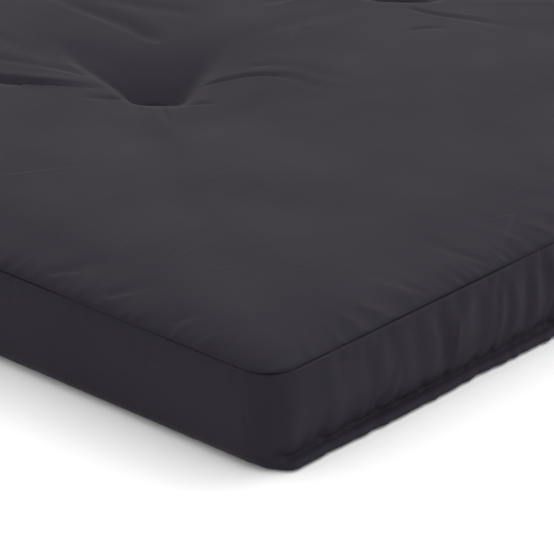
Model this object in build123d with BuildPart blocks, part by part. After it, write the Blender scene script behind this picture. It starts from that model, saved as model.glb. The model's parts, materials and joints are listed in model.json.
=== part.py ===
from build123d import *
import math
import os

# A tufted single futon mattress, in millimetres.
# X runs along the mattress towards the foot end, Y across it, Z up from the floor.
# The origin is on the floor, under the middle of the mattress.
# The mattress folds in half across its length, so every layer that runs through the
# fold is made as two pieces, a foot half and a head half, which meet at x = 0.

# ---- plan and cover ----
mattress_length = 2000.0
mattress_width = 900.0
corner_radius = 28.0  # seen from above
cover_wall = 0.8  # woven cover fabric
top_edge_radius = 12.0  # how the top panel rounds over above the top seam
bottom_edge_radius = 20.0  # how the boxing turns under

# ---- filling, bottom to top ----
bottom_felt_thickness = 24.2
foam_thickness = 36.0
top_felt_thickness = 24.2
filling_clearance = 1.2  # between the filling's sides and the cover

# ---- tufts ----
tufts_along = 4  # over the whole length, an even number, so that none is on the fold
tufts_across = 2
tuft_pitch_along = 400.0
tuft_pitch_across = 300.0
tuft_mouth_radius = 60.0  # how far the fabric is drawn down around a tie
tuft_seat_radius = 7.0  # the small flat spot under the tie
top_tuft_depth = 38.0
bottom_tuft_depth = 12.0
twine_diameter = 2.0
twine_leg_spacing = 8.0  # between the two legs of a tie
twine_clearance = 0.3  # around a leg, and under the bar of a tie
twine_bend_radius = 2.0
knot_radius = 5.6
knot_height = 5.5
knot_tail_reach = 14.0  # from the middle of the knot
knot_tail_drop = 4.6  # below the seat of the tuft
knot_roundness = 1.3  # radius of the knot's underside, as a multiple of its own radius

# ---- seams ----
seam_thread = 0.8  # thickness of the thread inside the top and bottom seams
seam_clearance = 0.05  # between that thread and the cover
stitch_height = 10.0  # closing seam, above the floor
hem_height = 1.5  # the lower edge of the closing seam's lip
hem_flare = 1.0  # how far the lip leans out
stitch_diameter = 1.0
stitch_length = 5.0
stitch_pitch = 7.0
stitch_clearance = 0.05

# ---- fold ----
fold_gap = 0.3  # between the two halves

# ---- worked out from the sizes above ----
half_length = mattress_length / 2
filling_base = cover_wall
filling_top = cover_wall + bottom_felt_thickness + foam_thickness + top_felt_thickness
thickness = filling_top + cover_wall
seam_height = thickness - top_edge_radius
foam_base = filling_base + bottom_felt_thickness
foam_top = foam_base + foam_thickness
closing_length = mattress_width - 2 * corner_radius
filling_inset = cover_wall + filling_clearance
tuft_floor = thickness - top_tuft_depth
tie_bar_height = tuft_floor + twine_clearance + twine_diameter / 2
knot_top = bottom_tuft_depth - stitch_clearance
leg_hole_radius = twine_diameter / 2 + twine_clearance
through_height = 4 * thickness  # of a cut through any layer, centred on the floor
closing_cut_height = 4 * stitch_height  # of the cut that clears the closing seam
closing_cut_margin = 2 * seam_thread  # how far that cut starts inside the bottom seam

tuft_points = [
    (tuft_pitch_along * (i + 0.5), tuft_pitch_across * (j - (tufts_across - 1) / 2))
    for i in range(tufts_along // 2)
    for j in range(tufts_across)
]


def edge_x(height):
    """How far out the cover is at the foot end, at a height on the rounded bottom edge."""
    rise = bottom_edge_radius - height
    return half_length - bottom_edge_radius + math.sqrt(bottom_edge_radius**2 - rise**2)


def pulled_height(height):
    """The height that a level of the stack is drawn to under a tie."""
    squeeze = (tuft_floor - bottom_tuft_depth) / thickness
    return bottom_tuft_depth + squeeze * height


def half_outline(inset):
    """The foot half seen from above, drawn in from the edge of the mattress."""
    size_x = half_length - inset - fold_gap / 2
    size_y = mattress_width - 2 * inset
    with BuildSketch() as outline:
        with Locations((fold_gap / 2, 0)):
            Rectangle(size_x, size_y, align=(Align.MIN, Align.CENTER))
        outer_corners = outline.vertices().group_by(Axis.X)[-1]
        fillet(outer_corners, radius=corner_radius - inset)
    return outline.sketch


def half_block(inset, low, high, top_radius, bottom_radius):
    """The foot half as a closed block with rounded edges, open to the fold."""
    with BuildPart() as block:
        with BuildSketch(Plane.XY.offset(low)):
            add(half_outline(inset))
        extrude(amount=high - low)
        top_rim = block.faces().sort_by(Axis.Z)[-1].edges().sort_by(Axis.X)[1:]
        fillet(top_rim, radius=top_radius)
        bottom_rim = block.faces().sort_by(Axis.Z)[0].edges().sort_by(Axis.X)[1:]
        fillet(bottom_rim, radius=bottom_radius)
    return block.part


def tuft_dish(low, high):
    """The disc of a layer around one tie, dished on both faces."""
    middle = (tuft_seat_radius + tuft_mouth_radius) / 2
    low_end, high_end = pulled_height(low), pulled_height(high)
    with BuildPart() as dish:
        with BuildSketch(Plane.XZ):
            with BuildLine():
                Line((0, low_end), (tuft_seat_radius, low_end))
                Bezier((tuft_seat_radius, low_end), (middle, low), (tuft_mouth_radius, low))
                Line((tuft_mouth_radius, low), (tuft_mouth_radius, high))
                Bezier((tuft_mouth_radius, high), (middle, high), (tuft_seat_radius, high_end))
                Line((tuft_seat_radius, high_end), (0, high_end))
                Line((0, high_end), (0, low_end))
            make_face()
        revolve(axis=Axis.Z)
        with GridLocations(twine_leg_spacing, 0, 2, 1):
            Cylinder(radius=leg_hole_radius, height=through_height, mode=Mode.SUBTRACT)
    return dish.part


def tufted(solid, low, high):
    """A layer between two levels, with its discs around the ties drawn down."""
    dish = tuft_dish(low, high)
    with BuildPart() as layer:
        add(solid)
        with Locations(*tuft_points):
            Cylinder(radius=tuft_mouth_radius, height=through_height, mode=Mode.SUBTRACT)
            add(dish)
    return layer.part


# ---- cover, foot half ----
outer_block = half_block(0, 0, thickness, top_edge_radius, bottom_edge_radius)
inner_block = half_block(
    cover_wall,
    filling_base,
    filling_top,
    top_edge_radius - cover_wall,
    bottom_edge_radius - cover_wall,
)

with BuildPart() as cover_shell:
    add(outer_block)
    add(inner_block, mode=Mode.SUBTRACT)

with BuildPart() as top_shell:
    add(cover_shell.part)
    split(bisect_by=Plane.XY.offset(seam_height), keep=Keep.TOP)

with BuildPart() as top_panel:
    add(tufted(top_shell.part, filling_top, thickness))

with BuildPart() as bottom_plate:
    with BuildSketch():
        add(half_outline(bottom_edge_radius))
    extrude(amount=cover_wall)

# The boxing of the head half is plain. The foot half's bottom edge is the closing seam.
with BuildPart() as plain_boxing:
    add(cover_shell.part)
    split(bisect_by=Plane.XY.offset(seam_height), keep=Keep.BOTTOM)
    with BuildSketch():
        add(half_outline(bottom_edge_radius))
    extrude(amount=cover_wall, mode=Mode.SUBTRACT)

with BuildPart() as closing_zone:
    with Locations((half_length - bottom_edge_radius, 0, 0)):
        Box(
            bottom_edge_radius,
            closing_length,
            stitch_height,
            align=(Align.MIN, Align.CENTER, Align.MIN),
        )

seam_x = edge_x(stitch_height)
lip_inside = seam_x + cover_wall  # the face where the lip's two layers touch
lip_outside = lip_inside + cover_wall
tuck = cover_wall  # how far a lip layer runs into the panel that it belongs to
outer_meets_x = lip_outside - (half_length - bottom_edge_radius)
outer_meets_z = bottom_edge_radius - math.sqrt(bottom_edge_radius**2 - outer_meets_x**2)

with BuildPart() as boxing_foot:
    add(plain_boxing.part)
    add(closing_zone.part, mode=Mode.SUBTRACT)
    with BuildSketch(Plane.XZ):
        with BuildLine():
            Polyline(
                (lip_inside, stitch_height),
                (lip_inside + hem_flare, hem_height),
                (lip_outside + hem_flare, hem_height),
                (lip_outside, stitch_height),
                (lip_outside, outer_meets_z),
                (lip_inside, outer_meets_z),
                close=True,
            )
        make_face()
    extrude(amount=closing_length / 2, both=True)

with BuildPart() as closing_strip:
    add(cover_shell.part)
    add(closing_zone.part, mode=Mode.INTERSECT)

with BuildPart() as bottom_panel_foot:
    add(tufted(bottom_plate.part, 0, cover_wall))
    add(closing_strip.part)
    with BuildSketch(Plane.XZ):
        with BuildLine():
            Polyline(
                (seam_x - tuck / 2, stitch_height - tuck),
                (seam_x - tuck / 2, stitch_height),
                (lip_inside, stitch_height),
                (lip_inside + hem_flare, hem_height),
                (seam_x + hem_flare, hem_height),
                (seam_x, stitch_height - tuck),
                close=True,
            )
        make_face()
    extrude(amount=closing_length / 2, both=True)

with BuildPart() as bottom_panel_head:
    add(tufted(bottom_plate.part, 0, cover_wall))

# The row of stitches that closes the foot end after filling, seen from outside.
stitch_count = int(closing_length // stitch_pitch) - 1
stitch_x = lip_outside + stitch_clearance + stitch_diameter / 2
with BuildPart() as closing_stitches:
    with BuildSketch(Plane((stitch_x, 0, stitch_height), z_dir=(0, 1, 0))):
        Circle(stitch_diameter / 2)
    extrude(amount=stitch_length / 2, both=True)
stitch_offsets = [
    (0, stitch_pitch * (i - (stitch_count - 1) / 2), 0) for i in range(stitch_count)
]

# ---- seam threads, foot half ----
with BuildPart() as top_seam_thread:
    with BuildSketch(Plane.XY.offset(seam_height - seam_thread / 2)):
        add(half_outline(cover_wall + seam_clearance))
    extrude(amount=seam_thread)
    with BuildSketch(Plane.XY.offset(seam_height - seam_thread / 2)):
        add(half_outline(cover_wall + seam_clearance + seam_thread))
    extrude(amount=seam_thread, mode=Mode.SUBTRACT)


def bottom_seam_ring(spare):
    """The bottom seam's thread, or with some spare around it, the groove that it lies in."""
    outer_inset = bottom_edge_radius - seam_thread / 2 - spare
    inner_inset = bottom_edge_radius + seam_thread / 2 + spare
    with BuildPart() as ring:
        with BuildSketch(Plane.XY.offset(cover_wall + seam_clearance)):
            add(half_outline(outer_inset))
        extrude(amount=seam_thread + spare)
        with BuildSketch(Plane.XY.offset(cover_wall + seam_clearance)):
            add(half_outline(inner_inset))
        extrude(amount=seam_thread + spare, mode=Mode.SUBTRACT)
    return ring.part


with BuildPart() as bottom_seam_thread_head:
    add(bottom_seam_ring(0))

with BuildPart() as bottom_seam_thread_foot:
    add(bottom_seam_ring(0))
    with Locations((half_length - bottom_edge_radius - closing_cut_margin, 0, 0)):
        Box(
            bottom_edge_radius,
            closing_length,
            closing_cut_height,
            align=(Align.MIN, Align.CENTER, Align.CENTER),
            mode=Mode.SUBTRACT,
        )

# ---- filling, foot half ----
filling_block = half_block(
    filling_inset, filling_base, filling_top, top_edge_radius, bottom_edge_radius
)


def filling_slab(low, high):
    """The filling between two levels, tufted."""
    with BuildPart() as slab:
        add(filling_block)
        if high < filling_top:
            split(bisect_by=Plane.XY.offset(high), keep=Keep.BOTTOM)
        if low > filling_base:
            split(bisect_by=Plane.XY.offset(low), keep=Keep.TOP)
    return tufted(slab.part, low, high)


with BuildPart() as top_felt:
    add(filling_slab(foam_top, filling_top))

with BuildPart() as foam_core:
    add(filling_slab(foam_base, foam_top))

with BuildPart() as bottom_felt:
    add(filling_slab(filling_base, foam_base))
    add(bottom_seam_ring(filling_clearance / 2), mode=Mode.SUBTRACT)

# ---- one tie and its knot, at the middle of a tuft ----
leg_x = twine_leg_spacing / 2
with BuildPart() as tie:
    with BuildLine():
        FilletPolyline(
            (-leg_x, 0, knot_top),
            (-leg_x, 0, tie_bar_height),
            (leg_x, 0, tie_bar_height),
            (leg_x, 0, knot_top),
            radius=twine_bend_radius,
        )
    with BuildSketch(Plane.XY.offset(knot_top)):
        with Locations((-leg_x, 0)):
            Circle(twine_diameter / 2)
    sweep()

with BuildPart() as knot:
    with BuildSketch(Plane.XZ):
        with BuildLine():
            Line((0, knot_top), (knot_radius, knot_top))
            Line((knot_radius, knot_top), (knot_radius, knot_top - knot_height / 2))
            RadiusArc(
                (knot_radius, knot_top - knot_height / 2),
                (0, knot_top - knot_height),
                knot_roundness * knot_radius,
            )
            Line((0, knot_top - knot_height), (0, knot_top))
        make_face()
    revolve(axis=Axis.Z)
    with BuildSketch(Plane((0, 0, bottom_tuft_depth - knot_tail_drop), z_dir=(0, 1, 0))):
        Circle(twine_diameter / 2)
    extrude(amount=knot_tail_reach, both=True)

# ---- labels and files ----
os.makedirs("parts", exist_ok=True)


def save(part, name):
    """Writes one piece to its own file, under its own name."""
    part.label = name
    export_step(part, f"parts/{name}.step")


def save_mirrored(part, name):
    """The head half's copy of a piece of the foot half."""
    with BuildPart() as copy:
        mirror(part, about=Plane.YZ)
    save(copy.part, name)


for shared_part, shared_name in [
    (top_panel.part, "top_panel"),
    (top_felt.part, "top_felt"),
    (foam_core.part, "foam_core"),
    (bottom_felt.part, "bottom_felt"),
    (top_seam_thread.part, "top_seam_thread"),
]:
    save(shared_part, f"{shared_name}_foot")
    save_mirrored(shared_part, f"{shared_name}_head")

save(boxing_foot.part, "boxing_foot")
save_mirrored(plain_boxing.part, "boxing_head")
save(bottom_panel_foot.part, "bottom_panel_foot")
save_mirrored(bottom_panel_head.part, "bottom_panel_head")
save(bottom_seam_thread_foot.part, "bottom_seam_thread_foot")
save_mirrored(bottom_seam_thread_head.part, "bottom_seam_thread_head")

with BuildPart() as stitch_row:
    with Locations(*stitch_offsets):
        add(closing_stitches.part)
save(stitch_row.part, "closing_stitches")

both_halves = tuft_points + [(-x, y) for x, y in tuft_points]
for number, (x, y) in enumerate(both_halves, start=1):
    for piece, piece_name in [(tie.part, "tuft_tie"), (knot.part, "tuft_knot")]:
        with BuildPart() as placed:
            with Locations((x, y, 0)):
                add(piece)
        save(placed.part, f"{piece_name}_{number}")
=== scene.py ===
# %% [markdown]
# # A tufted futon mattress
#
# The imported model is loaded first, as a fixed frame. It says how large the mattress is,
# where its seams and its eight ties are, and where it folds. Everything below is built
# around it, in metres, with X along the mattress, Y across it and Z up from the floor.

# %% Load the frame
import json
import math

import bpy
import numpy as np
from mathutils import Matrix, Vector

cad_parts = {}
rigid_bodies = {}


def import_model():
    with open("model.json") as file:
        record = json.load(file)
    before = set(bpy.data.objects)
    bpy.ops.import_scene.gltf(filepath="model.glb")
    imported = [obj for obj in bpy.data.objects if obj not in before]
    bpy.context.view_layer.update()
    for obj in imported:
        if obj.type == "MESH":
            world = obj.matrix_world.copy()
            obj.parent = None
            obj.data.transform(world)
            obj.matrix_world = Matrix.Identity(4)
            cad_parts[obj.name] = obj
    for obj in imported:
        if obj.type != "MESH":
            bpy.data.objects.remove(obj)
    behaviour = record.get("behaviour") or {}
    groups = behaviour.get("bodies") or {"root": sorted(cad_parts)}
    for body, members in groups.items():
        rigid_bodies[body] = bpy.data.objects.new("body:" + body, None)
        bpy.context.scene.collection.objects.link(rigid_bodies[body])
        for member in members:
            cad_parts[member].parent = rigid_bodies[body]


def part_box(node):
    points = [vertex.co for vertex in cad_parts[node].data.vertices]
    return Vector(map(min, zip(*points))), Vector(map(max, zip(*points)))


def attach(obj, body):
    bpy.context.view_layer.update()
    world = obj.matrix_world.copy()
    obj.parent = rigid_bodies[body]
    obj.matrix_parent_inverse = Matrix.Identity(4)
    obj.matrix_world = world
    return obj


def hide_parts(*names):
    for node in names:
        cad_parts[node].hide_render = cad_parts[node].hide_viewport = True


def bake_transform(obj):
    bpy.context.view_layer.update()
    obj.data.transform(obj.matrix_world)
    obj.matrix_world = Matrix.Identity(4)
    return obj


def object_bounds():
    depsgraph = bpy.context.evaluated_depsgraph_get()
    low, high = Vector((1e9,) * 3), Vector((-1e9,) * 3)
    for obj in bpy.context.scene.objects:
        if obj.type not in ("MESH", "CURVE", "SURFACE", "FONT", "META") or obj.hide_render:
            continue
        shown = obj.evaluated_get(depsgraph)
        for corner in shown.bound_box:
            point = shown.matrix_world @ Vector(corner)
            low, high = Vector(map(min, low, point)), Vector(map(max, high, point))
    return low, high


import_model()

cad_low, cad_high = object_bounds()
MM = 0.001

# %% [markdown]
# ## Sizes
#
# The plan of the mattress, the height of its top seam and the places of the ties all
# come from the frame. A tie is a loop of twine: its bar lies on top of the fabric, at
# the bottom of a deep dimple, and its knot hangs in a shallow dimple underneath.

# %% Sizes from the frame
half_x, half_y, top_z = cad_high
seam_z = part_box("boxing_foot")[1].z
tie_boxes = [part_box(f"tuft_tie_{n}") for n in range(1, 9)]
ties = [((low.x + high.x) / 2, (low.y + high.y) / 2) for low, high in tie_boxes]
ties.sort(key=lambda place: (-place[0], place[1]))  # from the foot end to the head end
twine_width = min(tie_boxes[0][1].x - tie_boxes[0][0].x, tie_boxes[0][1].y - tie_boxes[0][0].y)
seat_top_z = tie_boxes[0][1].z - twine_width - 0.4 * MM
seat_bottom_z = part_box("tuft_knot_1")[1].z + 0.2 * MM
corner_radius = 28 * MM
print("half size", round(half_x, 4), round(half_y, 4), "seam at", round(seam_z, 4))
print("ties", [(round(x, 3), round(y, 3)) for x, y in ties], "seat", round(seat_top_z, 4))

# %% [markdown]
# ## Camera, studio and lamps
#
# A product studio: a pale floor, a pale surround, one broad lamp high up behind the
# mattress and a weak one beyond its foot end. A long lens from far away keeps the edges
# almost parallel.


# %% Camera
def direction(azimuth, elevation):
    """A unit vector from the mattress towards a viewer, azimuth 0 being the long side."""
    a, e = math.radians(azimuth), math.radians(elevation)
    return Vector((math.sin(a) * math.cos(e), -math.cos(a) * math.cos(e), math.sin(e)))


def look_at(thing, place, target):
    """Puts a camera or lamp at a place, looking at a target."""
    thing.location = place
    thing.rotation_euler = (Vector(target) - Vector(place)).to_track_quat("-Z", "Y").to_euler()


camera_target = Vector((half_x - 93.5 * MM, -half_y + 108.5 * MM, top_z))
bpy.ops.object.camera_add()
camera = bpy.context.object
camera.name = "camera"
camera.data.lens = 260
camera.data.sensor_width = 36
camera.data.clip_end = 100
look_at(camera, camera_target + 2.8 * direction(42.45, 25.06), camera_target)
bpy.context.scene.camera = camera
print("camera at", [round(c, 3) for c in camera.location])


# %% Colours and nodes
def colour(text):
    """An sRGB hex colour as the linear RGBA that Blender's sockets take."""
    parts = [int(text[i : i + 2], 16) / 255 for i in (1, 3, 5)]
    return [c / 12.92 if c <= 0.04045 else ((c + 0.055) / 1.055) ** 2.4 for c in parts] + [1]


def add_node(tree, kind, settings=None, links=None):
    """Adds a node, sets its settings and input values, and links its inputs."""
    made = tree.nodes.new(kind)
    for name, value in (settings or {}).items():
        if isinstance(name, str) and hasattr(made, name):
            setattr(made, name, value)
        else:
            made.inputs[name].default_value = value
    for name, output in (links or {}).items():
        tree.links.new(output, made.inputs[name])
    return made


def new_material(name, **values):
    """A material with one Principled shader whose sockets have these values."""
    material = bpy.data.materials.new(name)
    material.use_nodes = True
    shader = material.node_tree.nodes["Principled BSDF"]
    for socket, value in values.items():
        shader.inputs[socket.replace("_", " ")].default_value = value
    return material, material.node_tree, shader


# %% Floor, surround and lamps
bpy.ops.mesh.primitive_plane_add(size=60, location=(0, 0, -0.5 * MM))
floor = bpy.context.object
floor.name = "floor"
paper, _, _ = new_material("studio_paper", Base_Color=colour("#fbfbfb"), Roughness=0.9)
floor.data.materials.append(paper)

surround = bpy.data.worlds.new("surround")
bpy.context.scene.world = surround
surround.use_nodes = True
surround.node_tree.nodes["Background"].inputs["Color"].default_value = colour("#ffffff")
surround.node_tree.nodes["Background"].inputs["Strength"].default_value = 1.15
for name, place, size, power in [
    ("high_lamp", (2.2, 3.8, 4.4), 3.6, 84),
    ("foot_lamp", (4.4, 0.6, 1.7), 2.0, 5),
]:
    bpy.ops.object.light_add(type="AREA")
    lamp = bpy.context.object
    lamp.name = name
    lamp.data.size = size
    lamp.data.energy = power
    look_at(lamp, place, (0.5, 0, 0))
bpy.context.scene.view_settings.view_transform = "Standard"

# %% [markdown]
# ## The cover's blank
#
# The cover is sewn from a top panel, a boxing strip round the sides and a bottom panel.
# All three start as one closed mesh, so that the seams fit exactly, and are taken apart
# later. The blank is a grid, copied to the underside and bridged round the sides. Its
# lines stand closer together where the cloth wrinkles: at the edges and at the ties.


# %% Lines of the grid
def spaced_lines(half, spots, fine=6.5 * MM, coarse=13 * MM, edge=2 * MM):
    """Positions from -half to half, closer together at both ends and at the spots."""
    x = np.linspace(-half, half, 40001)
    cell = np.minimum(coarse, edge + 0.3 * (half - abs(x)))
    for spot in spots:
        cell = np.minimum(cell, fine + 0.15 * np.maximum(abs(x - spot) - 60 * MM, 0))
    density = 1 / cell
    total = np.concatenate([[0], np.cumsum((density[1:] + density[:-1]) / 2 * np.diff(x))])
    return np.interp(np.linspace(0, total[-1], int(round(total[-1])) + 1), total, x)


lines_x = spaced_lines(half_x, sorted({x for x, _ in ties}))
lines_y = spaced_lines(half_y, sorted({y for _, y in ties}))
boxing_cuts = 11
print("grid", len(lines_x), "by", len(lines_y))


# %% Mesh helpers
def select_nothing():
    if bpy.context.mode != "OBJECT":
        bpy.ops.object.mode_set(mode="OBJECT")
    bpy.ops.object.select_all(action="DESELECT")


def select_only(obj):
    select_nothing()
    obj.select_set(True)
    bpy.context.view_layer.objects.active = obj


def points_of(mesh):
    flat = np.empty(len(mesh.vertices) * 3, np.float32)
    mesh.vertices.foreach_get("co", flat)
    return flat.reshape(-1, 3).astype(float)


def set_points(mesh, points):
    mesh.vertices.foreach_set("co", np.ascontiguousarray(points, dtype=np.float32).ravel())
    mesh.update()


def keep_values(mesh, name, values):
    """Stores a number on each vertex. Subdividing carries it on to the new ones."""
    place = mesh.attributes.get(name) or mesh.attributes.new(name, "FLOAT", "POINT")
    place.data.foreach_set("value", np.ascontiguousarray(values, dtype=np.float32))


def kept_values(mesh, *names):
    found = []
    for name in names:
        values = np.empty(len(mesh.vertices), np.float32)
        mesh.attributes[name].data.foreach_get("value", values)
        found.append(values.astype(float))
    return found


# %% Grid, copy and bridge
def make_blank(name, lines_x, lines_y, cuts):
    """A closed box that keeps, on each point, where its thread lies in the flat cloth."""
    select_nothing()
    bpy.ops.mesh.primitive_grid_add(
        x_subdivisions=len(lines_x) - 1, y_subdivisions=len(lines_y) - 1, size=1
    )
    blank = bpy.context.object
    blank.name = name
    bpy.ops.object.mode_set(mode="EDIT")
    bpy.ops.mesh.select_mode(type="EDGE")
    bpy.ops.mesh.select_all(action="SELECT")
    bpy.ops.mesh.duplicate_move(TRANSFORM_OT_translate={"value": (0, 0, -1)})
    bpy.ops.mesh.flip_normals()
    bpy.ops.mesh.select_all(action="DESELECT")
    bpy.ops.mesh.select_non_manifold(extend=False, use_boundary=True)
    bpy.ops.mesh.bridge_edge_loops(number_cuts=cuts, interpolation="LINEAR")
    bpy.ops.object.mode_set(mode="OBJECT")
    raw = points_of(blank.data)
    column = np.rint((raw[:, 0] + 0.5) * (len(lines_x) - 1)).astype(int)
    row = np.rint((raw[:, 1] + 0.5) * (len(lines_y) - 1)).astype(int)
    keep_values(blank.data, "cut_x", lines_x[column])
    keep_values(blank.data, "cut_y", lines_y[row])
    keep_values(blank.data, "level", -raw[:, 2])
    return blank


def cut_of(obj):
    """The flat place of every point, how far down the boxing it is, and its panel."""
    x, y, level = kept_values(obj.data, "cut_x", "cut_y", "level")
    return x, y, level, np.where(level < 1e-4, 0, np.where(level > 1 - 1e-4, 2, 1))


cover = make_blank("cover", lines_x, lines_y, boxing_cuts)
heights = np.array([face.center.z for face in cover.data.polygons])
panel_of_face = np.where(heights > -1e-4, 0, np.where(heights < -1 + 1e-4, 2, 1))
for name in ("top_panel", "boxing", "bottom_panel"):
    cover.data.materials.append(bpy.data.materials.new(f"cut_{name}"))
cover.data.polygons.foreach_set("material_index", panel_of_face.astype(np.int32))
print("blank", len(cover.data.vertices), "points")

# %% [markdown]
# ## Waves, and lines along the edge
#
# Folds and puckers are never regular. They come from two small functions: a curve that
# wanders smoothly between seeded random heights, and a fold that follows a drawn route.
# The wandering curve runs along the edge of the mattress, once round it.


# %% Smooth steps, curves through points, and wandering
def smooth(share):
    share = np.clip(share, 0, 1)
    return share * share * (3 - 2 * share)


def through(knots, values, at):
    """A smooth curve through values at rising knots, read at each place."""
    knots, values = np.asarray(knots, float), np.asarray(values, float)
    slopes = np.gradient(values, knots)
    i = np.clip(np.searchsorted(knots, at) - 1, 0, len(knots) - 2)
    span = knots[i + 1] - knots[i]
    t = np.clip((at - knots[i]) / span, 0, 1)
    start = (1 + 2 * t) * (1 - t) ** 2 * values[i] + t * (1 - t) ** 2 * span * slopes[i]
    return start + t * t * (3 - 2 * t) * values[i + 1] + t * t * (t - 1) * span * slopes[i + 1]


edge_turn = 110 * MM
quarter = half_y - edge_turn + edge_turn * math.pi / 2 + half_x - edge_turn


def along(x, y):
    """How far round the edge a place is: 0 at the middle of the foot end, plus on +Y."""
    a = np.maximum(abs(x) - (half_x - edge_turn), 0)
    b = np.maximum(abs(y) - (half_y - edge_turn), 0)
    on_end = np.minimum(abs(y), half_y - edge_turn)
    on_side = np.where(a > 0, 0, half_x - edge_turn - abs(x)) * (b > 0)
    t = on_end + edge_turn * np.arctan2(b, np.maximum(a, 1e-9)) + on_side
    return np.sign(y) * np.where(x > 0, t, 2 * quarter - t)


def wander(t, step, seed):
    """A smooth curve between random heights from -1 to 1, once round the edge."""
    count = int(round(4 * quarter / step))
    heights = np.random.default_rng(seed).uniform(-1, 1, count)
    place = (t / (4 * quarter) % 1) * count
    i = place.astype(int) % count
    f = place - place.astype(int)
    before, here, after, next_one = (heights[(i + k) % count] for k in (-1, 0, 1, 2))
    bend = 2 * before - 5 * here + 4 * after - next_one
    return here + f / 2 * (after - before + f * (bend + f * (3 * (here - after) + next_one - before)))


def cloudy(x, y, step, seed):
    """Smooth random hills over the plan, from -1 to 1."""
    heights = np.random.default_rng(seed).uniform(-1, 1, (64, 64))
    u, v = x / step + 31.5, y / step + 31.5
    i, j = np.floor(u).astype(int), np.floor(v).astype(int)
    f, g = smooth(u - i), smooth(v - j)
    near, far = heights[i % 64, j % 64], heights[(i + 1) % 64, j % 64]
    near_2, far_2 = heights[i % 64, (j + 1) % 64], heights[(i + 1) % 64, (j + 1) % 64]
    return (near * (1 - f) + far * f) * (1 - g) + (near_2 * (1 - f) + far_2 * f) * g


# %% A fold along a route
def fold(x, y, route, left, right, depth, start=0.12, end=0.45):
    """Heights of a valley along a route. Left and right are its widths on each side.

    Start and end are the shares of the route over which it deepens and runs out.
    """
    route = np.asarray(route, float)
    knots = np.concatenate([[0], np.cumsum(np.linalg.norm(np.diff(route, axis=0), axis=1))])
    t = np.linspace(0, knots[-1], 30)
    line_x, line_y = through(knots, route[:, 0], t), through(knots, route[:, 1], t)
    widest = 5 * max(left, right)
    height = np.zeros_like(x)
    near = (x > line_x.min() - widest) & (x < line_x.max() + widest)
    near &= (y > line_y.min() - widest) & (y < line_y.max() + widest)
    near = np.flatnonzero(near)
    if len(near) == 0:
        return height
    step_x, step_y = np.diff(line_x), np.diff(line_y)
    off_x, off_y = x[near][:, None] - line_x[:-1], y[near][:, None] - line_y[:-1]
    length = np.hypot(step_x, step_y)
    f = np.clip((off_x * step_x + off_y * step_y) / length**2, 0, 1)
    away = np.hypot(off_x - f * step_x, off_y - f * step_y)
    best = away.argmin(axis=1)
    rows = np.arange(len(near))
    side = (step_x[best] * off_y[rows, best] - step_y[best] * off_x[rows, best]) > 0
    distance = away[rows, best] / np.where(side, left, right)
    share = (best + f[rows, best]) / (len(t) - 1)
    distance = np.sqrt((distance / (0.75 + 0.5 * share)) ** 2 + 0.02)
    valley = np.clip(1 - distance / 1.7, 0, 1) ** 1.25 - 0.06 * np.exp(-((distance - 1.9) ** 2) / 0.4)
    height[near] = -depth * valley * smooth(share / start) * smooth((1 - share) / end)
    return height


# %% [markdown]
# ## The filled shape
#
# A filled mattress isn't a box. The top panel rises from the seam in a soft crown, the
# boxing bulges between its seams and turns under at the floor, and each tie pulls a
# deep lopsided funnel into the top and a shallow round one into the bottom. The
# funnel has flat sides because the cloth between neighbouring ties is drawn tight into
# a valley, and stands up as a pillow between the valleys.

# %% Measures of the filled shape
crown_width = 43 * MM
turn_under = 16 * MM  # radius where the boxing turns under
side_bulge = 1.8 * MM
seam_draw = 1.0 * MM  # the seam pulls the cloth in, softly
seam_groove = 2.0 * MM  # and sharply, right beside it
seam_roll = 2.0 * MM  # how far the top stands up right beside the seam
# The sides of each funnel. For each side: the way it faces, in degrees from +X towards
# +Y, how far from the tie it starts, and how much further it rises, in millimetres.
funnels = [
    ((28, 10, 34), (132, 0, 118), (250, 6, 26), (312, -2, 38)),
    ((34, 8, 36), (128, 0, 104), (246, 10, 40), (312, -2, 36)),
    ((18, 6, 32), (96, 2, 76), (208, 4, 50), (300, 6, 30)),
    ((40, 4, 76), (140, 8, 28), (222, 2, 54), (330, 6, 32)),
    ((70, 6, 30), (160, 0, 96), (250, 8, 32), (338, 2, 50)),
    ((12, 2, 66), (118, 6, 34), (190, 6, 30), (272, 0, 86)),
    ((52, 0, 86), (150, 6, 30), (236, 4, 42), (318, 8, 30)),
    ((24, 6, 32), (104, 4, 38), (214, 0, 100), (320, 6, 28)),
]


# %% Plan with rounded corners
def corner_parts(x, y):
    """From 0 to 1 across the corner zones, along X and along Y."""
    a = np.clip((abs(x) - (half_x - corner_radius)) / corner_radius, 0, 1)
    b = np.clip((abs(y) - (half_y - corner_radius)) / corner_radius, 0, 1)
    return a, b


def rounded_plan(x, y, inset):
    """Where a thread lies in plan, with the corners rounded and the edge drawn in."""
    a, b = corner_parts(x, y)
    reach = corner_radius - inset
    plan_x = np.where(a > 0, half_x - corner_radius + reach * a * np.sqrt(1 - b * b / 2), abs(x))
    plan_y = np.where(b > 0, half_y - corner_radius + reach * b * np.sqrt(1 - a * a / 2), abs(y))
    return plan_x * np.sign(x), plan_y * np.sign(y)


def foot_share(x, y):
    """1 along the foot end, running out to 0 round its two corners."""
    a, b = corner_parts(x, y)
    angle = np.arctan2(b, np.maximum(a, 1e-9))
    return np.where(x > 0, smooth(1.15 - angle / math.radians(62)), 0)


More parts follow.
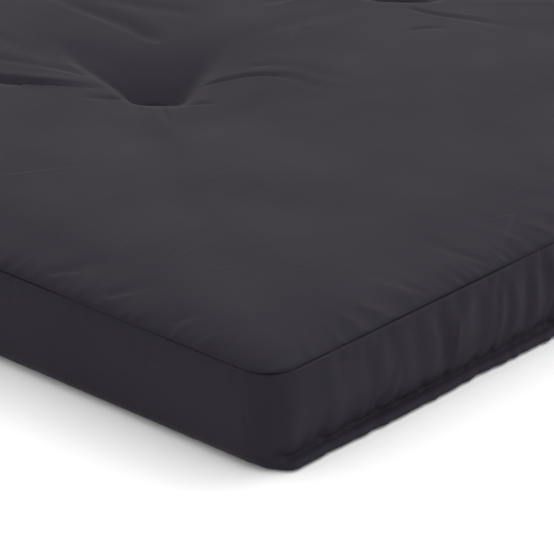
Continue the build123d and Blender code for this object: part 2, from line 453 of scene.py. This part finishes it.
# %% Profiles of the boxing
def plain_profile(level):
    """Inset and height down a side that turns under in a quarter circle."""
    level = level - 0.45 / (2 * math.pi) * np.sin(2 * math.pi * level)
    straight = seam_z - turn_under
    path = level * (straight + turn_under * math.pi / 2)
    turn = np.clip((path - straight) / turn_under, 0, math.pi / 2)
    height = np.where(path < straight, seam_z - path, turn_under * (1 - np.sin(turn)))
    inset = turn_under * (1 - np.cos(turn))
    inset += seam_draw * np.exp(-path / (8 * MM)) + seam_groove * np.exp(-path / (1.3 * MM))
    return inset - side_bulge * np.sin(np.clip(path / straight, 0, 1) * math.pi), height


# Down the foot end: the wall, the gathered stitch line, the lip below it, the underside.
foot_outline = [
    # level, inset and height in millimetres
    (0.00, 3.0, 74.0), (0.03, 1.0, 73.0), (0.07, 0.5, 70.6), (0.16, -0.9, 62.0),
    (0.30, -1.7, 46.0), (0.44, -0.2, 29.0), (0.54, 1.8, 18.0), (0.61, 3.6, 10.8),
    (0.645, 4.4, 8.4), (0.675, 3.4, 7.7), (0.74, 0.0, 6.5), (0.81, -2.6, 4.2),
    (0.84, -3.2, 2.6), (0.87, -1.6, 1.0), (0.92, 6.0, 0.3), (1.00, 20.0, 0.0),
]


def foot_profile(level):
    """Inset and height down the foot end, with its lip."""
    levels, insets, heights = np.array(foot_outline).T
    return through(levels, insets * MM, level), through(levels, heights * MM, level)


# %% Crown and funnels
def rise(distance):
    """How far the crown has risen at a distance from the seam, from 0 to 1."""
    return 1 - (1 - np.clip(distance / crown_width, 0, 1)) ** 2.5


def tie_pull(x, y):
    """How strongly the nearest tie pulls the top down, from 0 to 1 at the tie."""
    pull = np.zeros_like(x)
    for (tie_x, tie_y), sides in zip(ties, funnels):
        off_x, off_y = x - tie_x, y - tie_y
        r = np.hypot(off_x, off_y)
        loose = smooth((r - 10 * MM) / (60 * MM)) * 7 * MM
        off_x = off_x + loose * (cloudy(x, y, 80 * MM, 11) + 0.5 * cloudy(x, y, 33 * MM, 13))
        off_y = off_y + loose * (cloudy(x, y, 80 * MM, 12) + 0.5 * cloudy(x, y, 33 * MM, 14))
        gauge = np.zeros_like(x)
        for faces, start, reach in sides:
            turn = math.radians(faces)
            towards = off_x * math.cos(turn) + off_y * math.sin(turn)
            gauge += np.clip((towards / MM - start) / reach, 0, 2) ** 5
        seat = np.clip(1 - np.maximum(r - 6 * MM, 0) / (13 * MM), 0, 1) ** 1.5
        mouth = np.clip(1 - gauge**0.2, 0, 1) ** 2
        wide = np.clip(1 - np.maximum(r - 6 * MM, 0) / (185 * MM), 0, 1) ** 2
        around = 0.64 * mouth + 0.11 * wide
        pull = np.maximum(pull, around + (1 - around) * seat)
    return pull


def knot_pull(x, y):
    """The same underneath, where each knot sits in a small round dimple."""
    pull = np.zeros_like(x)
    for tie_x, tie_y in ties:
        r = np.maximum(np.hypot(x - tie_x, y - tie_y) - 7 * MM, 0)
        pull = np.maximum(pull, np.clip(1 - r / (60 * MM), 0, 1) ** 2.2)
    return pull


# %% The whole filled shape
def filled(x, y, level, panel, top_detail=0, side_detail=0, bottom_detail=0):
    """The filled cover's points, for threads at x, y and a level down the boxing.

    The details are heights over the top, distances out of the sides and heights over
    the underside.
    """
    share = foot_share(x, y)
    plain_inset, plain_z = plain_profile(level)
    foot_inset, foot_z = foot_profile(level)
    wall_inset = plain_inset + (foot_inset - plain_inset) * share
    wall_z = plain_z + (foot_z - plain_z) * share
    edge = np.minimum(half_x - abs(x), half_y - abs(y))
    near_seam = np.exp(-edge / (1.3 * MM))
    inset = np.where(panel == 0, seam_draw + seam_groove * near_seam, wall_inset - side_detail)
    plan_x, plan_y = rounded_plan(x, y, inset)
    crown = rise(half_x - abs(x)) * rise(half_y - abs(y))
    top = seam_z + seam_roll * (1 - near_seam) + (top_z - seam_z - seam_roll) * crown
    top += top_detail - (top_z - seat_top_z) * tie_pull(x, y)
    bottom = seat_bottom_z * knot_pull(x, y) + bottom_detail
    z = np.where(panel == 0, top, np.where(panel == 2, bottom, wall_z))
    return np.column_stack([plan_x, plan_y, z])


print("middle of the top", filled(*(np.zeros(1) for _ in range(3)), np.zeros(1)).round(4))

# %% Taken apart at the seams
def separate_panels(obj):
    """Takes the cover apart into its three panels, each as its own object."""
    select_only(obj)
    bpy.ops.object.mode_set(mode="EDIT")
    bpy.ops.mesh.separate(type="MATERIAL")
    bpy.ops.object.mode_set(mode="OBJECT")
    parts = {}
    for part in bpy.context.selected_objects:
        name = part.data.materials[0].name.removeprefix("cut_")
        part.name = part.data.name = name
        part.data.materials.clear()
        parts[name] = part
    return parts


x, y, level, panel = cut_of(cover)
set_points(cover.data, filled(x, y, level, panel))
panels = separate_panels(cover)
top_panel, boxing, bottom_panel = (panels[n] for n in ("top_panel", "boxing", "bottom_panel"))
print("panels", {name: len(part.data.vertices) for name, part in panels.items()})

# %% [markdown]
# ## Cloth
#
# The wrinkles of a tufted cover come from one cause: the cloth was cut flat, and each
# tie and each seam draws it into a shape that isn't flat. So the top panel is simulated
# as cloth. Its springs want the lengths that they had in the flat panel, plus a little
# ease. The ties and the seam are held, the filling presses from below, and what is left
# over has to fold. The slow swell of the whole panel is then taken out, so that the
# mattress keeps its height. What stays is small, under 3 mm. The funnels and the folds
# that show most aren't simulated: they are drawn, above and below this step.


# %% Cloth simulation
def simulate(obj, frames, ease):
    """How far the cloth moves each point of the top panel."""
    x, y, _, _ = cut_of(obj)
    start = points_of(obj.data)
    flat = start.copy()
    flat[:, 2] = seam_z + (top_z - seam_z) * rise(half_x - abs(x)) * rise(half_y - abs(y))
    flat[:, :2] *= 1 + ease
    obj.shape_key_add(name="filled")
    cut = obj.shape_key_add(name="cut")
    cut.data.foreach_set("co", np.ascontiguousarray(flat, dtype=np.float32).ravel())
    cut.value = 0
    held = obj.vertex_groups.new(name="held")
    on_seam = np.minimum(half_x - abs(x), half_y - abs(y)) < 1e-6
    held.add(np.flatnonzero(on_seam | (tie_distance(x, y) < 10 * MM)).tolist(), 1, "REPLACE")
    cloth = obj.modifiers.new("cloth", "CLOTH")
    settings = cloth.settings
    settings.quality = 4
    settings.mass = 0.2
    settings.tension_stiffness = settings.compression_stiffness = 30
    settings.shear_stiffness = 6
    settings.bending_stiffness = 0.15
    settings.tension_damping = settings.compression_damping = 8
    settings.air_damping = 2
    settings.vertex_group_mass = "held"
    settings.rest_shape_key = cut
    settings.use_pressure = True
    settings.uniform_pressure_force = 1.5
    settings.effector_weights.gravity = 0
    cloth.point_cache.frame_end = frames
    scene = bpy.context.scene
    scene.frame_start, scene.frame_end = 1, frames
    for number in range(1, frames + 1):
        scene.frame_set(number)
    seen = obj.evaluated_get(bpy.context.evaluated_depsgraph_get())
    moved = points_of(seen.to_mesh()) - start
    seen.to_mesh_clear()
    obj.modifiers.remove(cloth)
    obj.shape_key_clear()
    obj.vertex_groups.clear()
    scene.frame_set(1)
    return moved


# %% The wrinkles without the swell
def tie_distance(x, y):
    return np.min([np.hypot(x - tie_x, y - tie_y) for tie_x, tie_y in ties], axis=0)


def evened(grid, times):
    """A grid of values, each mixed with its neighbours this many times."""
    for _ in range(times):
        padded = np.pad(grid, ((1, 1), (1, 1), (0, 0)), mode="edge")
        grid = (padded[:-2, 1:-1] + 2 * grid + padded[2:, 1:-1]) / 4
        padded = np.pad(grid, ((1, 1), (1, 1), (0, 0)), mode="edge")
        grid = (padded[1:-1, :-2] + 2 * grid + padded[1:-1, 2:]) / 4
    return grid


def wrinkles_only(x, y, moved, most):
    """The movement less its slow part, with no point moved much further than most."""
    column, row = np.searchsorted(lines_x, x - 1e-6), np.searchsorted(lines_y, y - 1e-6)
    grid = np.zeros((len(lines_x), len(lines_y), 3))
    grid[column, row] = moved
    quick = (evened(grid, 1) - evened(grid, 25))[column, row]
    quick *= smooth(np.minimum(half_x - abs(x), half_y - abs(y)) / (40 * MM))[:, None]
    quick *= smooth((tie_distance(x, y) - 20 * MM) / (50 * MM))[:, None]
    far = np.linalg.norm(quick, axis=1)
    return quick * (most * np.tanh(far / most) / np.maximum(far, 1e-9))[:, None]


movement = np.zeros_like(points_of(top_panel.data))
x, y, _, _ = cut_of(top_panel)
movement = simulate(top_panel, frames=24, ease=0.012)
print("cloth swelled", round(movement[:, 2].max() / MM, 1), "mm")
movement = wrinkles_only(x, y, movement, most=4 * MM)
print("wrinkles", (movement.min(axis=0) / MM).round(1), (movement.max(axis=0) / MM).round(1))

# %% [markdown]
# ## Finer cloth
#
# Each panel is subdivided as far as its folds need. A subdivision rounds what it
# refines, so it is run while the points hold only the cloth's movement, and the filled
# shape is then worked out again at every new point.


# %% Refine
def refine(obj, levels):
    select_only(obj)
    finer = obj.modifiers.new("finer", "SUBSURF")
    finer.levels = finer.render_levels = levels
    bpy.ops.object.modifier_apply(modifier="finer")


def refine_where(obj, busy):
    """Cuts each face whose corners all lie in busy cloth into four."""
    x, y, _, _ = cut_of(obj)
    picked = busy(x, y)
    select_only(obj)
    bpy.ops.object.mode_set(mode="EDIT")
    bpy.ops.mesh.select_mode(type="FACE")
    bpy.ops.mesh.select_all(action="DESELECT")
    bpy.ops.object.mode_set(mode="OBJECT")
    starts = np.empty(len(obj.data.polygons), np.int32)
    obj.data.polygons.foreach_get("loop_start", starts)
    corners = np.empty(len(obj.data.loops), np.int32)
    obj.data.loops.foreach_get("vertex_index", corners)
    obj.data.polygons.foreach_set("select", np.logical_and.reduceat(picked[corners], starts))
    bpy.ops.object.mode_set(mode="EDIT")
    bpy.ops.mesh.subdivide(number_cuts=1)
    bpy.ops.object.mode_set(mode="OBJECT")


def busy_cloth(x, y):
    """Where the top needs its finest mesh: along the seam and around the ties."""
    edge = np.minimum(half_x - abs(x), half_y - abs(y))
    return (edge < 26 * MM) | (tie_distance(x, y) < 105 * MM)


set_points(top_panel.data, movement)
refine(top_panel, 1)
refine_where(top_panel, busy_cloth)
for part, levels in ((boxing, 2), (bottom_panel, 1)):
    set_points(part.data, np.zeros((len(part.data.vertices), 3)))
    refine(part, levels)
print("refined", {name: len(part.data.vertices) for name, part in panels.items()})

# %% [markdown]
# ## Folds, puckers and gathers
#
# Around a tie the cloth that is drawn in has to go somewhere, and it lies in a few
# sharp folds that run out over the pillows. Beside a seam it puckers between stitches.
# The boxing hangs in upright folds above the gathered closing seam at the foot end,
# and is nearly smooth along the sides. All of these are drawn along chosen routes or
# come from seeded waves.

# %% Folds around the ties
# Routes from the tie outwards, in millimetres from the tie, with the widths on their
# left and right, the depth, and the shares over which the fold deepens and runs out.
first_tie_folds = [
    ([(-24, -22), (-42, -30), (-61, -42), (-97, -69), (-150, -92)], 2, 8, 8.0, 0.6, 0.3),
    ([(-50, -10), (-80, -17), (-131, -39), (-170, -52)], 3, 7, 1.0, 0.12, 0.45),
    ([(-62, 73), (-82, 76), (-105, 79), (-170, 82), (-230, 96)], 3, 12, 2.8, 0.12, 0.45),
    ([(16, 30), (24, 46), (34, 68), (56, 87), (104, 90), (128, 98)], 4.5, 2, 1.8, 0.12, 0.6),
    ([(20, 80), (43, 104), (77, 110), (118, 114)], 7, 4, 0.8, 0.12, 0.45),
    ([(-2, -24), (-19, -39), (-34, -54)], 1.5, 6, 1.6, 0.2, 0.7),
    ([(22, -12), (45, 6), (61, 19)], 5, 1.5, 1.8, 0.2, 0.7),
    ([(14, -26), (24, -38), (50, -67)], 2, 4, 0.8, 0.12, 0.6),
    ([(22, -14), (42, -28), (64, -43)], 2, 4, 0.8, 0.12, 0.6),
    ([(-80, 134), (-128, 118), (-190, 92)], 5, 10, 1.1, 0.12, 0.45),
]
second_tie_folds = [
    ([(24, -30), (52, -28), (84, -19), (145, -8)], 5, 3, 1.4, 0.12, 0.6),
    ([(67, -79), (70, -62), (96, -40)], 4, 3, 1.0, 0.3, 0.6),
    ([(-30, -48), (-52, -80), (-60, -120)], 4, 8, 2.2, 0.12, 0.5),
    ([(-40, 20), (-84, 30), (-150, 22)], 3, 8, 4.0, 0.3, 0.4),
]


def drawn_folds(number):
    """The folds of a tie: from the third on, the first tie's, turned and varied."""
    if number < 2:
        return (first_tie_folds, second_tie_folds)[number]
    chance = np.random.default_rng(40 + number)
    angle = math.radians(90 * chance.integers(0, 4) + chance.uniform(-9, 9))
    flip = chance.choice([-1, 1])
    folds = []
    for route, left, right, depth, start, end in first_tie_folds:
        if chance.uniform() < 0.12:
            continue
        turn = angle + math.radians(chance.uniform(-12, 12))
        stretch = chance.uniform(0.7, 1.1)
        turned = []
        for px, py in route:
            px, py = px * stretch, py * stretch * flip
            turned.append(
                (px * math.cos(turn) - py * math.sin(turn), px * math.sin(turn) + py * math.cos(turn))
            )
        widths = (left, right) if flip > 0 else (right, left)
        folds.append((turned, *widths, depth * chance.uniform(0.6, 1.0), start, end))
    return folds


def tie_folds(x, y):
    """Heights of all the folds around the ties."""
    height = np.zeros_like(x)
    for number, (tie_x, tie_y) in enumerate(ties):
        for route, left, right, depth, start, end in drawn_folds(number):
            placed = [(tie_x + px * MM, tie_y + py * MM) for px, py in route]
            height += fold(x, y, placed, left * MM, right * MM, depth * MM, start, end)
    return height


# %% Puckers along the top seam
def seam_puckers(x, y):
    """Heights of the top beside its seam: fine puckers, and longer soft ridges."""
    t = along(x, y)
    edge = np.minimum(half_x - abs(x), half_y - abs(y))
    fine = 1.3 * MM * wander(t, 5 * MM, 3) * np.exp(-edge / (7 * MM))
    ridge = 1 - abs(wander(t + 0.25 * edge, 26 * MM, 4))
    long = 3.0 * MM * (ridge**2 - 0.4) * smooth(edge / (14 * MM)) * np.exp(-edge / (24 * MM))
    strength = 0.6 + 0.4 * wander(t, 160 * MM, 5)
    return (fine + long * strength) * smooth(edge / (2 * MM))


def top_details(x, y):
    """Everything that stands up from or sinks into the smooth top."""
    soft = 0.6 * MM * cloudy(x, y, 130 * MM, 6) + 0.25 * MM * cloudy(x, y, 47 * MM, 7)
    away = np.clip(1 - tie_pull(x, y) * 1.2, 0, 1)
    edge = np.minimum(half_x - abs(x), half_y - abs(y))
    creases = [  # short ones that start at the seam
        ([(996, -284), (968, -290), (930, -300)], 2, 6, 0.9),
        ([(996, -214), (965, -224), (930, -226)], 2, 6, 0.8),
        ([(990, -100), (950, -72), (905, -84)], 4, 7, 0.8),
        ([(990, -60), (960, -104), (920, -116)], 4, 7, 0.6),
        ([(776, -440), (790, -425), (806, -392)], 8, 3, 1.2),
        ([(832, -440), (842, -425), (852, -400)], 8, 3, 1.3),
        ([(898, -440), (904, -425), (912, -405)], 8, 3, 1.0),
    ]
    height = soft * away * smooth(edge / (60 * MM)) + seam_puckers(x, y) + tie_folds(x, y)
    for route, left, right, depth in creases:
        placed = [(px * MM, py * MM) for px, py in route]
        height += fold(x, y, placed, left * MM, right * MM, depth * MM, start=0.1, end=0.7)
    return height


# %% Folds of the boxing
foot_folds = [  # along the edge and height in millimetres; a negative depth stands out
    ([(-281, 72), (-277, 60), (-271, 47), (-268, 14)], 6, 6, 3.0),
    ([(-258, 60), (-258, 22)], 4, 4, -1.5),
    ([(-238, 66), (-237, 14)], 8, 8, 1.6),
    ([(-210, 70), (-208, 45), (-209, 22)], 5, 4, -1.8),
    ([(-324, 42), (-322, 28), (-323, 13)], 4, 4, -1.8),
    ([(-331, 30), (-334, 12)], 4, 4, 1.8),
    ([(-180, 66), (-176, 14)], 6, 6, 1.8),
    ([(-152, 70), (-150, 20)], 5, 5, -1.2),
]


stitch_level = 0.645
_, stitch_z = foot_profile(np.array([stitch_level]))


def side_details(x, y, level):
    """How far the boxing's folds and gathers stand out."""
    t = along(x, y)
    share = foot_share(x, y)
    _, plain_z = plain_profile(level)
    _, foot_z = foot_profile(level)
    z = plain_z + (foot_z - plain_z) * share
    under_seam = np.exp(-(seam_z - z) / (10 * MM)) * smooth((seam_z - z) / (1.5 * MM))
    out = (0.4 + 0.6 * share) * MM * wander(t, 6 * MM, 21) * under_seam
    out += 0.8 * MM * wander(t + 0.15 * z, 70 * MM, 22) * smooth((z - 2 * MM) / (14 * MM))
    middle = smooth((z - 8 * MM) / (14 * MM)) * smooth((seam_z - z) / (16 * MM))
    out += share * 1.8 * MM * wander(t + 0.2 * (z - 40 * MM), 12 * MM, 23) * middle
    over = z - stitch_z
    above_stitches = smooth(over / (3 * MM)) * np.exp(-abs(over) / (10 * MM))
    out += share * 4.5 * MM * (0.12 - (1 - abs(wander(t, 8 * MM, 24))) ** 3) * above_stitches
    out += share * 1.0 * MM * wander(t, 4.5 * MM, 27) * np.exp(-((over / (2.5 * MM)) ** 2))
    lip = share * smooth(-over / (3 * MM)) * smooth(z / (0.8 * MM))
    out += lip * (1.5 * MM * wander(t, 24 * MM, 25) + 0.9 * MM * wander(t, 6 * MM, 26))
    for route, left, right, depth in foot_folds:
        placed = [(pt * MM, pz * MM) for pt, pz in route]
        place = fold(t, z, placed, left * MM, right * MM, depth * MM, start=0.3, end=0.3)
        out += np.where(x > 0, place, 0) * share
    return out


# %% The three panels in their final shape
def shape_panel(obj):
    """The filled shape at every point, with its details and the cloth's movement."""
    x, y, level, panel = cut_of(obj)
    movement = points_of(obj.data)
    if obj is top_panel:
        panel[:] = 0
        points = filled(x, y, level * 0, panel, top_detail=top_details(x, y))
    elif obj is bottom_panel:
        panel[:] = 2
        points = filled(x, y, level * 0 + 1, panel)
    else:
        panel[:] = 1
        points = filled(x, y, level, panel, side_detail=side_details(x, y, level))
        x, y = abs(along(x, y)), level * (seam_z + turn_under)
    keep_values(obj.data, "warp", x)
    keep_values(obj.data, "weft", y)
    set_points(obj.data, points + movement)
    select_only(obj)
    bpy.ops.object.shade_smooth()
    print(obj.name, "box", points.min(axis=0).round(4), points.max(axis=0).round(4))


for part in (top_panel, boxing, bottom_panel):
    shape_panel(part)

# %% [markdown]
# ## What is inside
#
# The filling is a foam core between two layers of cotton felt. Nobody sees it, but it
# fills the cover, so each layer follows the top and the underside in proportion. Each
# starts from the same kind of blank as the cover, with fewer lines.


# %% Felt and foam
def room_inside(x, y):
    """The highest underside and the lowest top near each place, folds and all."""
    near = [-18 * MM, -9 * MM, 0, 9 * MM, 18 * MM]
    highest, lowest = np.zeros_like(x), np.full_like(x, top_z)
    for step_x in near:
        for step_y in near:
            px = np.clip(x + step_x, -half_x, half_x)
            py = np.clip(y + step_y, -half_y, half_y)
            highest = np.maximum(highest, seat_bottom_z * knot_pull(px, py))
            top = filled(px, py, px * 0, px * 0, top_detail=tie_folds(px, py))
            lowest = np.minimum(lowest, top[:, 2])
    return highest, lowest - 3 * MM


across_fold = np.arange(-60, 61, 6) * MM  # closer lines where the layers have to bend


def filling_layer(name, low_share, high_share, gap):
    """A closed layer between two shares of the way from the underside to the top."""
    layer = make_blank(name, np.union1d(lines_x[::3], across_fold), lines_y[::3], 3)
    x, y, level, _ = cut_of(layer)
    below = filled(x, y, level * 0 + 1, level * 0 + 2)
    above = filled(x, y, level * 0, level * 0)
    below[:, 2], above[:, 2] = room_inside(x, y)
    share = high_share + (low_share - high_share) * level
    points = below + (above - below) * share[:, None]
    round_side = 2 * MM * (1 - np.sin(level * math.pi))
    points[:, 0] = above[:, 0] * (1 - (gap + round_side) / half_x)
    points[:, 1] = above[:, 1] * (1 - (gap + round_side) / half_y)
    set_points(layer.data, points)
    select_only(layer)
    bpy.ops.object.shade_smooth()
    return layer


cover_and_gap = 4 * MM
layers = {
    "top_felt": filling_layer("top_felt", 0.70, 0.955, cover_and_gap + 5 * MM),
    "foam_core": filling_layer("foam_core", 0.30, 0.695, cover_and_gap + 3 * MM),
    "bottom_felt": filling_layer("bottom_felt", 0.03, 0.295, cover_and_gap + 14 * MM),
}
for part in layers.values():
    print(part.name, "height", [round(c[2] / MM, 1) for c in (part.bound_box[0], part.bound_box[6])])

# %% [markdown]
# ## Thread
#
# The panels are sewn with polyester thread. Along the top seam and the bottom seam it
# lies inside, behind the cloth. At the foot end the cover was closed after filling,
# with a row of stitches through both layers above a short lip, and those show.


# %% Seam threads
def seam_thread(name, panel_part, drop, inset):
    """A thread just inside the outline of a panel."""
    select_only(panel_part)
    bpy.ops.object.duplicate()
    thread = bpy.context.object
    thread.name = thread.data.name = name
    bpy.ops.object.mode_set(mode="EDIT")
    bpy.ops.mesh.select_all(action="SELECT")
    bpy.ops.mesh.region_to_loop()
    bpy.ops.mesh.select_mode(type="VERT")
    bpy.ops.mesh.select_all(action="INVERT")
    bpy.ops.mesh.delete(type="VERT")
    bpy.ops.object.mode_set(mode="OBJECT")
    points = points_of(thread.data)
    points[:, 0] -= np.sign(points[:, 0]) * inset
    points[:, 1] -= np.sign(points[:, 1]) * inset
    points[:, 2] += drop
    set_points(thread.data, points)
    bpy.ops.object.convert(target="CURVE")
    thread = bpy.context.object
    thread.data.bevel_depth = 0.4 * MM
    thread.data.bevel_resolution = 1
    bpy.ops.object.convert(target="MESH")
    print(name, len(bpy.context.object.data.polygons), "faces")
    return bpy.context.object


# %% Closing stitches
def closing_stitches():
    """One stitch, copied along the gathered line at the foot end."""
    count = 119
    pitch = 7 * MM
    select_nothing()
    bpy.ops.mesh.primitive_uv_sphere_add(segments=8, ring_count=6, radius=0.5 * MM)
    stitch = bpy.context.object
    stitch.name = stitch.data.name = "closing_stitches"
    bpy.ops.object.mode_set(mode="EDIT")
    bpy.ops.transform.rotate(value=math.pi / 2, orient_axis="X", center_override=(0, 0, 0))
    bpy.ops.transform.resize(value=(1, 5.2, 1))
    bpy.ops.object.mode_set(mode="OBJECT")
    one = points_of(stitch.data)
    for _ in range(count - 1):
        bpy.ops.object.duplicate()
    bpy.ops.object.select_all(action="DESELECT")
    copies = [o for o in bpy.context.scene.objects if o.name.startswith("closing_stitches")]
    copies = [o for o in copies if o.type == "MESH" and len(o.data.vertices) == len(one)]
    for number, copy in enumerate(copies):
        middle = (number - (count - 1) / 2) * pitch
        y = middle + one[:, 1]
        x = np.full_like(y, half_x)
        level = np.full_like(y, stitch_level)
        base = filled(x, y, level, level * 0 + 1, side_detail=side_details(x, y, level))
        points = one + base
        points[:, 1] = y
        set_points(copy.data, points)
        copy.select_set(True)
    bpy.context.view_layer.objects.active = copies[0]
    bpy.ops.object.join()
    joined = bpy.context.object
    joined.name = joined.data.name = "closing_stitch_row"
    bpy.ops.object.shade_smooth()
    print("stitches", len(copies), "faces", len(joined.data.polygons))
    return joined


top_thread = seam_thread("top_seam_thread", top_panel, -1.2 * MM, 3 * MM)
bottom_thread = seam_thread("bottom_seam_thread", bottom_panel, 1.2 * MM, 2 * MM)
stitches = closing_stitches()

# %% [markdown]
# ## Materials
#
# The cover is taken to be a satin-faced cotton and polyester weave, dyed anthracite. It
# is matt, with a faint sheen at flat angles, and has hairline creases as if packed. The
# filling is needled grey cotton felt and open-cell foam. The ties are waxed twine.


# %% Woven cover
def woven_cover():
    """Matt cloth: low, faintly violet specular, and a nap that hides the threads."""
    material, tree, shader = new_material(
        "anthracite_satin_weave", Roughness=0.62, Specular_IOR_Level=0.17,
        Specular_Tint=colour("#eaebff"),
    )
    place = add_node(tree, "ShaderNodeTexCoord").outputs["Object"]
    # Dye takes unevenly over a hand's breadth.
    dye = add_node(tree, "ShaderNodeTexNoise", {"Scale": 9, "Detail": 3}, {"Vector": place})
    tone = add_node(tree, "ShaderNodeValToRGB", links={"Fac": dye.outputs["Fac"]})
    for element, position, hex_text in zip(
        tone.color_ramp.elements, (0.3, 0.7), ("#1b171f", "#1e1a22")
    ):
        element.position = position
        element.color = colour(hex_text)
    # Hairline creases run mostly across the mattress, about 40 mm apart:
    # the edges between long narrow cells. A noise breaks them into lengths.
    threads = add_node(
        tree, "ShaderNodeCombineXYZ",
        links={
            "X": add_node(tree, "ShaderNodeAttribute", {"attribute_name": "warp"}).outputs["Fac"],
            "Y": add_node(tree, "ShaderNodeAttribute", {"attribute_name": "weft"}).outputs["Fac"],
        },
    ).outputs["Vector"]
    narrow = add_node(
        tree, "ShaderNodeMapping", {"Rotation": (0, 0, 0.12), "Scale": (25, 4, 1)},
        {"Vector": threads},
    )
    cells = add_node(
        tree, "ShaderNodeTexVoronoi",
        {"voronoi_dimensions": "2D", "feature": "DISTANCE_TO_EDGE", "Scale": 1},
        {"Vector": narrow.outputs["Vector"]},
    )
    line = add_node(
        tree, "ShaderNodeMapRange",
        {"From Min": 0.0, "From Max": 0.022, "To Min": 1.0, "To Max": 0.0},
        {"Value": cells.outputs["Distance"]},
    )
    breaks = add_node(tree, "ShaderNodeTexNoise", {"Scale": 14, "Detail": 2}, {"Vector": place})
    kept = add_node(
        tree, "ShaderNodeMapRange", {"From Min": 0.48, "From Max": 0.66},
        {"Value": breaks.outputs["Fac"]},
    )
    crease = add_node(
        tree, "ShaderNodeMath", {"operation": "MULTIPLY"},
        {0: line.outputs["Result"], 1: kept.outputs["Result"]},
    )
    # Painted highlight: the base colour is lighter along each hairline crease, standing in for the
    # light its ridge catches.
    painted_crease_highlight = add_node(
        tree, "ShaderNodeMix",
        {"data_type": "RGBA", 7: colour("#232028")},
        {0: crease.outputs[0], 6: tone.outputs["Color"]},
    )
    tree.links.new(painted_crease_highlight.outputs[2], shader.inputs["Base Color"])
    # Real threads lie closer than this. They are drawn 1.4 mm apart, so that they show.
    thread_pitch = 1.4 * MM
    height = crease.outputs[0]
    for way in "XY":
        wave = add_node(
            tree, "ShaderNodeTexWave",
            {"bands_direction": way, "Scale": math.pi / 10 / thread_pitch, "Distortion": 0.6},
            {"Vector": threads},
        )
        height = add_node(
            tree, "ShaderNodeMath", {"operation": "MULTIPLY_ADD", 1: 0.35},
            {0: wave.outputs["Fac"], 2: height},
        ).outputs[0]
    bump = add_node(
        tree, "ShaderNodeBump", {"Strength": 0.5, "Distance": 0.25 * MM}, {"Height": height}
    )
    tree.links.new(bump.outputs["Normal"], shader.inputs["Normal"])
    # Where the nap is rubbed down it is a little smoother.
    rubbed = add_node(
        tree, "ShaderNodeMapRange", {"To Min": 0.54, "To Max": 0.7},
        {"Value": breaks.outputs["Fac"]},
    )
    tree.links.new(rubbed.outputs["Result"], shader.inputs["Roughness"])
    return material


weave = woven_cover()
for part in panels.values():
    part.data.materials.append(weave)


# %% Felt, foam, thread and twine
def bumped_material(name, kind, pitch, depth, dark, light, roughness):
    """A material whose one pattern gives it both its colour and its relief."""
    material, tree, shader = new_material(name, Roughness=roughness, Specular_IOR_Level=0.3)
    place = add_node(tree, "ShaderNodeTexCoord").outputs["Object"]
    scale = math.pi / 10 / pitch if kind == "ShaderNodeTexWave" else 1 / pitch
    pattern = add_node(tree, kind, {"Scale": scale}, {"Vector": place})
    tone = add_node(tree, "ShaderNodeValToRGB", links={"Fac": pattern.outputs[0]})
    tone.color_ramp.elements[0].color = colour(dark)
    tone.color_ramp.elements[1].color = colour(light)
    tree.links.new(tone.outputs["Color"], shader.inputs["Base Color"])
    bump = add_node(tree, "ShaderNodeBump", {"Distance": depth}, {"Height": pattern.outputs[0]})
    tree.links.new(bump.outputs["Normal"], shader.inputs["Normal"])
    return material


noise, cells, wave = "ShaderNodeTexNoise", "ShaderNodeTexVoronoi", "ShaderNodeTexWave"
felt = bumped_material(  # needled fibres, cloudy and quite without gloss
    "needled_cotton_felt", noise, 3 * MM, 0.6 * MM, "#8f8a82", "#c9c4ba", 0.95
)
foam = bumped_material(  # open cells of about 1 mm
    "open_cell_foam", cells, 1.1 * MM, 0.4 * MM, "#cdbf95", "#efe6c8", 0.9
)
thread_look = bumped_material(  # two plies with a 1 mm twist
    "polyester_sewing_thread", wave, 1 * MM, 0.1 * MM, "#0e0d10", "#18171b", 0.8
)
twine = bumped_material(  # three waxed plies, twisted about once in 3 mm
    "waxed_tufting_twine", wave, 3 * MM, 0.3 * MM, "#17161a", "#2a282e", 0.45
)
layers["top_felt"].data.materials.append(felt)
layers["bottom_felt"].data.materials.append(felt)
layers["foam_core"].data.materials.append(foam)
for part in (top_thread, bottom_thread, stitches):
    part.data.materials.clear()
    part.data.materials.append(thread_look)
for number in range(1, len(ties) + 1):
    for kind in ("tie", "knot"):
        node = bpy.data.objects[f"tuft_{kind}_{number}"]
        node.data.materials.clear()
        node.data.materials.append(twine)

# %% [markdown]
# ## The two halves
#
# The mattress folds across its middle, and every layer runs through that line. The
# model's own foot and head copies of these pieces are hidden and each piece keeps its
# transform baked into its mesh; only the closing stitches ride on the foot half.

# %% Hidden parts and the stitches' body
crossing = {**panels, **layers, "top_seam_thread": top_thread, "bottom_seam_thread": bottom_thread}
for name, piece in crossing.items():
    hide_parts(f"{name}_foot", f"{name}_head")
    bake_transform(piece)
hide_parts("closing_stitches")
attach(stitches, "foot_half")
